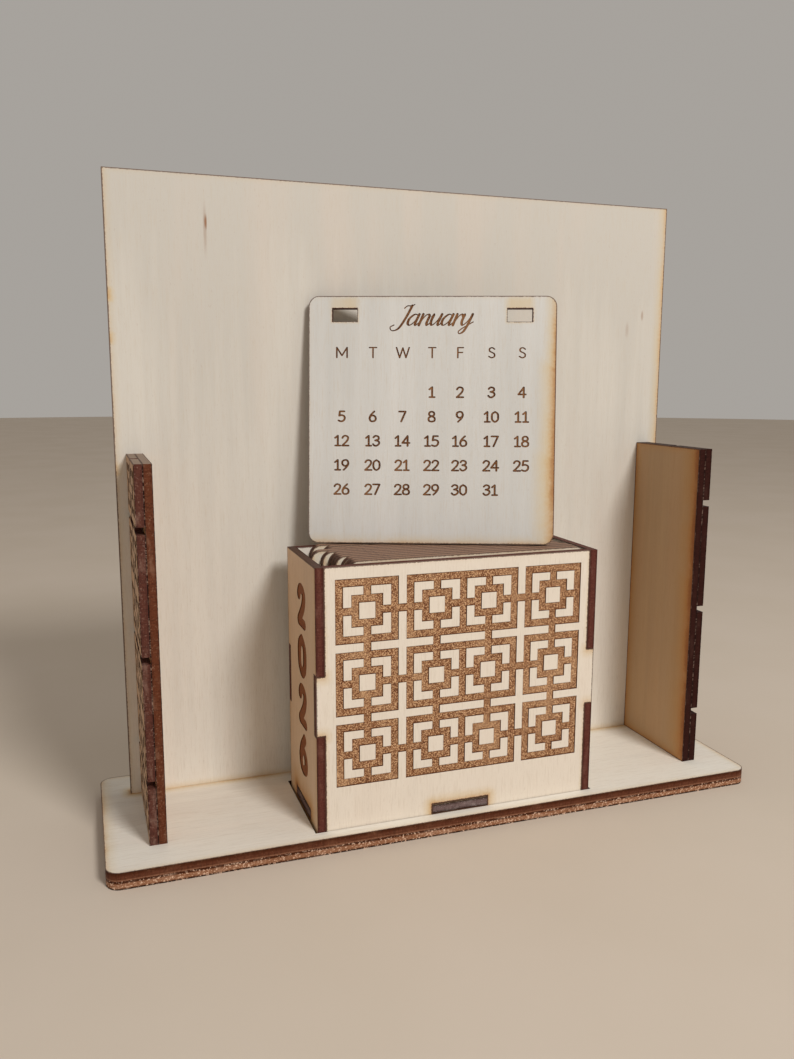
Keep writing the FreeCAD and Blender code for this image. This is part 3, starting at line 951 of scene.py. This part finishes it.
# Where the lettering's columns and rows are, as shares of the card.
COLUMNS = (0.1357, 0.2617, 0.3825, 0.5012, 0.6148, 0.7418, 0.8645)
WEEKDAY_ROW, FIRST_ROW, ROW_PITCH, TITLE_ROW = 0.7735, 0.615, 0.0986, 0.905

# The two holes of a card, and how far the smoke rose above them and stayed in from their sides.
HOLE_X, HOLE_LOW, HOLE_HIGH, HOLE_HALF = 33.0, 83.9, 88.9, 4.75
HOLE_RIM = -0.16
SMOKE_INSET, SMOKE_BELOW, SMOKE_ABOVE = 1.4, 1.0, 2.4

JANUARY_YAW, JANUARY_LEAN = -21.4, -6.3
JANUARY_PLACE = (
    Matrix.Translation((-2.328 * MM, -5.758 * MM, 103.0 * MM))
    @ Matrix.Rotation(math.radians(JANUARY_YAW), 4, "Z")
    @ Matrix.Rotation(math.radians(JANUARY_LEAN), 4, "X")
)

# The laser browned January's right edge most towards the foot.
JANUARY_BURNS = (
    ((46.6, -2.0), (47.0, 32.0), 1.0, 1.0, 10.5),
    ((46.6, 32.0), (47.0, 66.0), 0.9, 0.9, 8.5),
)


def card_cutter(month, front):
    """Month name, weekday initials and dates, as a solid that reaches TEXT_DEPTH into the card's front."""
    shape = bmesh.new()
    axes = (Vector((1, 0, 0)), Vector((0, 0, 1)), Vector((0, 2 * TEXT_DEPTH * MM, 0)))

    def put(text, across, up, font, height, **style):
        centre = Vector(((across - 0.5) * CARD * MM, front * MM, up * CARD * MM))
        add_text(shape, text, font, height * MM, centre, axes, **style)

    title = calendar.month_name[month]
    put(title, 0.5, TITLE_ROW, SCRIPT, TITLE_HEIGHT, pen=SCRIPT_PEN, slant=SCRIPT_SLANT)
    for across, letter in zip(COLUMNS, WEEKDAYS):
        put(letter, across, WEEKDAY_ROW, PLAIN, DIGIT_HEIGHT, pen=LIGHT_PEN, stretch=TEXT_STRETCH)
    for row, week in enumerate(calendar.monthcalendar(YEAR, month)):
        up = FIRST_ROW - row * ROW_PITCH
        for across, day in zip(COLUMNS, week):
            if day:
                put(str(day), across, up, PLAIN, DIGIT_HEIGHT, pen=DIGIT_PEN, stretch=TEXT_STRETCH)
    return cutter_mesh(shape)


def card_sheet(name, seed, burns=(), **looks):
    """A card's sheet in its own coordinates: x from the middle, y back from the front face, z up."""
    cuts, notches = [], []
    for middle in (-HOLE_X, HOLE_X):
        left, right = middle - HOLE_HALF, middle + HOLE_HALF
        smoke_low = (left + SMOKE_INSET, HOLE_HIGH - SMOKE_BELOW)
        smoke_high = (right - SMOKE_INSET, HOLE_HIGH + SMOKE_ABOVE)
        notches.append(((left, HOLE_LOW), (right, HOLE_HIGH), HOLE_RIM))
        cuts.append(((left, HOLE_LOW), (right, HOLE_HIGH), 0.4, 0.3, 1.3))
        cuts.append((smoke_low, smoke_high, 0.6, 0.0, 3.6))
    low, high = (-CARD / 2, -CARD_THICK, 0.0), (CARD / 2, 0.0, CARD)
    return Sheet(name, low, high, Y, Z, seed, cuts=cuts + list(burns), notches=notches, corner=CARD_CORNER,
                 **looks)


def make_card(month, place, materials):
    node = "card_" + calendar.month_name[month].lower()
    piece = carve(node + "_engraved", node, card_cutter(month, -CARD_THICK), place)
    paint_faces(piece, Y, (-CARD_THICK + TEXT_DEPTH) * MM, -1, materials)
    settle(piece, node)


def make_january():
    sheet = card_sheet("january", 21, tone=0.7, blush=0.0, bare=(FROST, ASHEN), burns=JANUARY_BURNS,
                       halos=[(X, 1, 0.9), (Z, 0, 0.5), (X, 0, 0.1), (Z, 1, 0.12)])
    make_card(1, JANUARY_PLACE, engraved_materials(sheet, TEXT_BURN))


def make_stock():
    """February to December, which stand in the box. They come from a few lots of wood."""
    lots = []
    for lot in range(STOCK_LOTS):
        sheet = card_sheet(f"stock_{lot}", 30 + lot, tone=0.3, char=SMOKE,
                           halos=[(X, 0, 0.6), (X, 1, 0.4), (Z, 1, 0.4)])
        lots.append(engraved_materials(sheet, TEXT_BURN))
    for month in range(2, 13):
        low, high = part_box("card_" + calendar.month_name[month].lower())
        place = Matrix.Translation(((low.x + high.x) / 2, high.y, low.z))
        make_card(month, place, lots[month % STOCK_LOTS])


# ---------------------------------------------------------------- the card box

PLY = 3.0
FINGER_LOW, FINGER_HIGH = 41.5, 63.5
SEAM_HALF = 0.5
NOTCH_RIM = 0.12

# The slots for the bottom's tabs, as low and high corners across and up their walls.
FRONT_SLOT = ((-11.1, 6.3), (11.1, 9.8))
LEFT_SLOT = ((-22.5, 6.3), (-0.4, 9.8))

# The lattice, counted in units of its bar's width. Its cells are CELL units wide.
LATTICE_UNIT = 2.906
LATTICE_ACROSS, LATTICE_UP = 33, 26
LATTICE_LEFT, LATTICE_TOP = -47.8, 97.5
LATTICE_DEPTH = 0.35
LATTICE_RIM = 0.22
CELL = 8
CELL_COLUMNS = (0, 9, 16, 25)
CELL_ROWS = (0, 9, 18)
BAR_COLUMNS = (8, 24)
ARM_START, ARM_THICK, ARM_END = 1.0, 1.0, 3.5
SQUARE_START = 3.0
HALF_CHANNEL = 0.5

YEAR_TOPS = (9.6, 28.7, 47.5, 66.5)
YEAR_HEIGHT = 16.5
YEAR_MIDDLE_Y = -12.3
YEAR_DEPTH = 0.3
YEAR_PEN = (0.3, 0.35, 1.0)
YEAR_STRETCH = 1.24


def in_cell(x, y):
    """Whether a point of a cell is engraved, x and y being from the cell's corner."""
    x, y = min(x, CELL - x), min(y, CELL - y)
    square = x > SQUARE_START and y > SQUARE_START
    corner = ARM_START < x < ARM_END and ARM_START < y < ARM_END
    arm = corner and min(x, y) < ARM_START + ARM_THICK
    return not (square or arm)


def is_engraved(x, y):
    """Whether the lattice is engraved at a point, in units from its lower left corner."""
    for left in CELL_COLUMNS:
        for bottom in CELL_ROWS:
            if left < x < left + CELL and bottom < y < bottom + CELL:
                return in_cell(x - left, y - bottom)
    in_row_channel = any(abs(y - bottom - CELL / 2) < HALF_CHANNEL for bottom in CELL_ROWS)
    in_column_channel = any(abs(x - left - CELL / 2) < HALF_CHANNEL for left in CELL_COLUMNS)
    beside_bar = any(bar < x < bar + 1 for bar in BAR_COLUMNS)
    between_rows = not any(bottom < y < bottom + CELL for bottom in CELL_ROWS)
    if beside_bar:
        return in_row_channel and not between_rows
    return in_column_channel and between_rows


def lattice_cutter(front):
    """The engraved part of the lattice as one solid, made of half-unit squares."""
    shape = bmesh.new()
    across, up = 2 * LATTICE_ACROSS, 2 * LATTICE_UP
    filled = {(i, j) for i in range(across) for j in range(up) if is_engraved((i + 0.5) / 2, (j + 0.5) / 2)}
    corners = {}

    def corner(i, j, inside):
        key = (i, j, inside)
        if key not in corners:
            x = LATTICE_LEFT + i * LATTICE_UNIT / 2
            z = LATTICE_TOP - (up - j) * LATTICE_UNIT / 2
            y = front + (LATTICE_DEPTH if inside else -LATTICE_DEPTH)
            corners[key] = shape.verts.new((x * MM, y * MM, z * MM))
        return corners[key]

    def quad(*keys):
        shape.faces.new([corner(*key) for key in keys])

    for i, j in filled:
        quad((i, j, 0), (i + 1, j, 0), (i + 1, j + 1, 0), (i, j + 1, 0))
        quad((i, j, 1), (i, j + 1, 1), (i + 1, j + 1, 1), (i + 1, j, 1))
        if (i - 1, j) not in filled:
            quad((i, j, 0), (i, j + 1, 0), (i, j + 1, 1), (i, j, 1))
        if (i + 1, j) not in filled:
            quad((i + 1, j, 0), (i + 1, j, 1), (i + 1, j + 1, 1), (i + 1, j + 1, 0))
        if (i, j - 1) not in filled:
            quad((i, j, 0), (i, j, 1), (i + 1, j, 1), (i + 1, j, 0))
        if (i, j + 1) not in filled:
            quad((i, j + 1, 0), (i + 1, j + 1, 0), (i + 1, j + 1, 1), (i, j + 1, 1))
    return cutter_mesh(shape)


def year_cutter(low, high):
    """The year's four figures, one above the other on the left wall, as a solid."""
    shape = bmesh.new()
    axes = (Vector((0, -1, 0)), Vector((0, 0, 1)), Vector((-2 * YEAR_DEPTH * MM, 0, 0)))
    height = YEAR_HEIGHT / (1 + YEAR_PEN[0]) * MM
    for digit, top in zip(str(YEAR), YEAR_TOPS):
        centre = Vector((low[X], YEAR_MIDDLE_Y, high[Z] - top - YEAR_HEIGHT / 2)) * MM
        add_text(shape, digit, PLAIN, height, centre, axes, YEAR_PEN, stretch=YEAR_STRETCH)
    return cutter_mesh(shape)


def make_box_front():
    low, high = mm_box("box_front_wall")
    cuts = [(*FRONT_SLOT, 0.9, 0.8, 5.0)]
    notches = [(*FRONT_SLOT, NOTCH_RIM)]
    for left, right in ((low[X], low[X] + PLY), (high[X] - PLY, high[X])):
        for bottom, top in ((low[Z], FINGER_LOW), (FINGER_HIGH, high[Z])):
            notches.append(((left, bottom), (right, top), NOTCH_RIM))
            cuts.append(((left, bottom), (right, top), 0.4, 0.25, 2.0))
        for level in (FINGER_LOW, FINGER_HIGH):
            cuts.append(((left, level - SEAM_HALF), (right, level + SEAM_HALF), 0.6, 0.35, 4.0))
    sheet = Sheet("box_front_wall", low, high, Y, Z, 3, tone=0.0, blush=0.1, honey=0.18, cuts=cuts,
                  notches=notches, halos=[(Z, 0, 0.45), (Z, 1, 0.1)])
    piece = carve("box_front_engraved", "box_front_wall", lattice_cutter(low[Y]))
    paint_faces(piece, Y, (low[Y] + LATTICE_DEPTH) * MM, -1, engraved_materials(sheet, LATTICE_BURN))
    ring_the_floor(piece, LATTICE_RIM * MM)
    settle(piece, "box_front_wall")


def make_box_left():
    low, high = mm_box("box_left_wall")
    notches = [(*LEFT_SLOT, NOTCH_RIM)]
    for near, far in ((low[Y], low[Y] + PLY), (high[Y] - PLY, high[Y])):
        notches.append(((near, FINGER_LOW), (far, FINGER_HIGH), NOTCH_RIM))
    # Its high honey is painted warm shade on this wall, which looks away from the light.
    # The scorch along the wall's foot and round its slot is strong and wide. It is partly real scorch and
    # partly painted warm shade and bounce light towards the bottom.
    sheet = Sheet("box_left_wall", low, high, X, Z, 4, tone=0.0, honey=0.62, notches=notches, char=GREYED_AND_SHEENED,
                  cuts=[(*LEFT_SLOT, 1.0, 0.9, 11.0)], halos=[(Y, 0, 0.4), (Y, 1, 0.4), (Z, 0, 0.9)])
    piece = carve("box_left_engraved", "box_left_wall", year_cutter(low, high))
    paint_faces(piece, X, (low[X] + YEAR_DEPTH) * MM, -1, engraved_materials(sheet, YEAR_BURN))
    settle(piece, "box_left_wall")


def finish_box():
    finish_node("box_right_wall", X, Z, 11, tone=0.5, halos=[(Y, 0, 0.6), (Y, 1, 0.4), (Z, 0, 0.5)])
    finish_node("box_back_wall", Y, Z, 12, tone=0.4, halos=[(X, 0, 0.4), (X, 1, 0.4), (Z, 0, 0.5)])
    finish_node("box_bottom", Z, X, 13, tone=0.5, char=SLATE,
                halos=[(X, 0, 0.4), (X, 1, 0.4), (Y, 0, 0.6), (Y, 1, 0.6)])


# ---------------------------------------------------------------- the stand

BASE_CORNER = 5.0
PANEL_KNOTS = (
    (-80.6, 221.4, 0.55, 3.2, 0.95),
    (-80.9, 219.0, 0.8, 11.0, 0.35),
    (105.9, 192.8, 0.7, 2.6, 0.5),
    (98.6, 186.7, 1.0, 4.0, 0.25),
)
# Spots on the panel's side edges where the laser lingered.
PANEL_BURNS = (
    ((-116.0, 193.5), (-115.6, 196.0), 0.8, 0.55, 3.2),
    ((-116.0, 178.5), (-115.6, 180.5), 0.8, 0.55, 3.0),
    ((-116.0, 131.0), (-115.6, 133.5), 0.7, 0.5, 3.0),
    ((115.6, 203.0), (116.0, 206.0), 0.7, 0.5, 3.4),
)
# The inner panels' front edges are browned over this width, from just in front of them.
PILLAR_BURN, BURN_LEAD = 15.0, 0.2


def finish_base():
    finish_node("base_bottom_plate", Z, X, 1, tone=0.6, char=LOWER_BASE, corner=BASE_CORNER,
                halos=[(X, 0, 0.6), (X, 1, 0.5), (Y, 0, 0.4), (Y, 1, 0.5)])
    low, high = mm_box("back_panel")
    panel_foot = ((low[Y], low[X]), (high[Y], high[X]), 0.8, 0.7, 5.0)
    finish_node("base_top_plate", Z, X, 2, tone=0.0, blush=0.15, char=UPPER_BASE, corner=BASE_CORNER,
                cuts=[panel_foot], halos=[(X, 0, 0.6), (X, 1, 0.4), (Y, 0, 0.3), (Y, 1, 0.4)])


def finish_back_panel():
    finish_node("back_panel", Y, Z, 5, tone=0.1, fade=1.1, blush=0.25, cuts=PANEL_BURNS, knots=PANEL_KNOTS,
                halos=[(X, 0, 0.3), (X, 1, 0.6), (Z, 0, 1.0), (Z, 1, 0.15)])


def finish_pillar(side, seed, inner_char, outer_char):
    panel = side + "_pillar_inner_panel"
    low, high = mm_box(panel)
    front_burn = ((low[Y] - BURN_LEAD, low[Z]), (low[Y], high[Z]), 1.0, 1.0, PILLAR_BURN)
    # The inner panels' high tone and honey make them greyer and warmer. This is painted warm shade, set to
    # the right pillar's inner face, which looks away from the light.
    finish_node(panel, X, Z, seed, tone=0.9, honey=0.9, cuts=[front_burn], char=inner_char,
                halos=[(Y, 1, 0.7), (Z, 0, 0.6), (Z, 1, 0.4)])
    # The fretwork's honey and amber brown and warm it: partly scorch, partly painted warm shade on its outer
    # face, which looks away from the light.
    finish_node(side + "_pillar_fretwork", X, Z, seed + 2, tone=0.4, honey=0.5, amber=0.5, char=outer_char,
                halos=[(Y, 0, 0.8), (Y, 1, 0.6)])


# ---------------------------------------------------------------- camera, light and floor

CAMERA_AT = Vector((-127.209, -326.072, 164.825)) * MM
CAMERA_YAW, CAMERA_PITCH, CAMERA_ROLL = 0.334474, 0.162934, 0.0025825
FOCAL_PIXELS, LONG_SIDE_PIXELS = 906.603, 1059
SENSOR = 36.0
NEAREST = 0.01

STUDIO_MIDDLE = Vector((0, 0, 0.1))
KEY_OFFSET = Vector((0.36, -1.12, 0.95))
KEY_SIZE, KEY_POWER, KEY_COLOUR = 0.4, 15.0, (1.0, 0.995, 0.985)
ROOM_COLOUR, ROOM_STRENGTH = (0.92, 0.865, 0.8, 1.0), 0.42
FLOOR_RADIUS, FLOOR_SIDES = 4.0, 96
FLOOR_LIGHT, FLOOR_DARK = srgb(212, 198, 182), srgb(209, 195, 178)
FLOOR_MOTTLE_BUMP = 0.02


def make_camera():
    yaw, pitch, roll = CAMERA_YAW, CAMERA_PITCH, CAMERA_ROLL
    ahead = Vector((math.sin(yaw) * math.cos(pitch), math.cos(yaw) * math.cos(pitch), -math.sin(pitch)))
    level = Vector((math.cos(yaw), -math.sin(yaw), 0))
    above = level.cross(ahead)
    right = math.cos(roll) * level + math.sin(roll) * above
    up = math.cos(roll) * above - math.sin(roll) * level
    lens = bpy.data.cameras.new("camera")
    lens.sensor_width = SENSOR
    lens.lens = SENSOR * FOCAL_PIXELS / LONG_SIDE_PIXELS
    lens.clip_start = NEAREST
    camera = new_object("camera", lens)
    turn = Matrix((right, up, -ahead)).transposed().to_4x4()
    camera.matrix_world = Matrix.Translation(CAMERA_AT) @ turn
    bpy.context.scene.camera = camera


def make_key_light():
    light = bpy.data.lights.new("key", "AREA")
    light.shape = "DISK"
    light.size = KEY_SIZE
    light.energy = KEY_POWER
    light.color = KEY_COLOUR
    lamp = new_object("key", light)
    at = STUDIO_MIDDLE + KEY_OFFSET
    turn = (at - STUDIO_MIDDLE).to_track_quat("Z", "Y").to_matrix().to_4x4()
    lamp.matrix_world = Matrix.Translation(at) @ turn


def make_room():
    world = bpy.data.worlds.new("studio")
    bpy.context.scene.world = world
    world.use_nodes = True
    background = world.node_tree.nodes["Background"]
    background.inputs["Color"].default_value = ROOM_COLOUR
    background.inputs["Strength"].default_value = ROOM_STRENGTH


def make_floor():
    shape = bmesh.new()
    bmesh.ops.create_circle(shape, cap_ends=True, segments=FLOOR_SIDES, radius=FLOOR_RADIUS)
    mesh = bpy.data.meshes.new("floor")
    shape.to_mesh(mesh)
    shape.free()
    floor = new_object("floor", mesh)
    n = Shading("floor_matt")
    x, y, _ = n.place()
    mottle = n.noise((x, 0.01), (y, 0.01), 0.0, 3.0)
    colour = n.mix(n.step(mottle, 0.3, 0.7), FLOOR_LIGHT, FLOOR_DARK)
    roughness = n.step(mottle, 0.3, 0.7, 0.7, 0.8)
    floor.data.materials.append(n.finish(colour, roughness, mottle, FLOOR_MOTTLE_BUMP))


make_camera()
make_key_light()
make_room()
make_floor()
finish_base()
finish_back_panel()
finish_pillar("left", 7, RUSSET, PURPLE)
# The right pillar takes the darker char on both sheets: painted shade.
finish_pillar("right", 8, SHADED_UMBER, SHADED_UMBER)
finish_box()
make_box_front()
make_box_left()
make_january()
make_stock()

bpy.context.scene.view_settings.view_transform = "Standard"
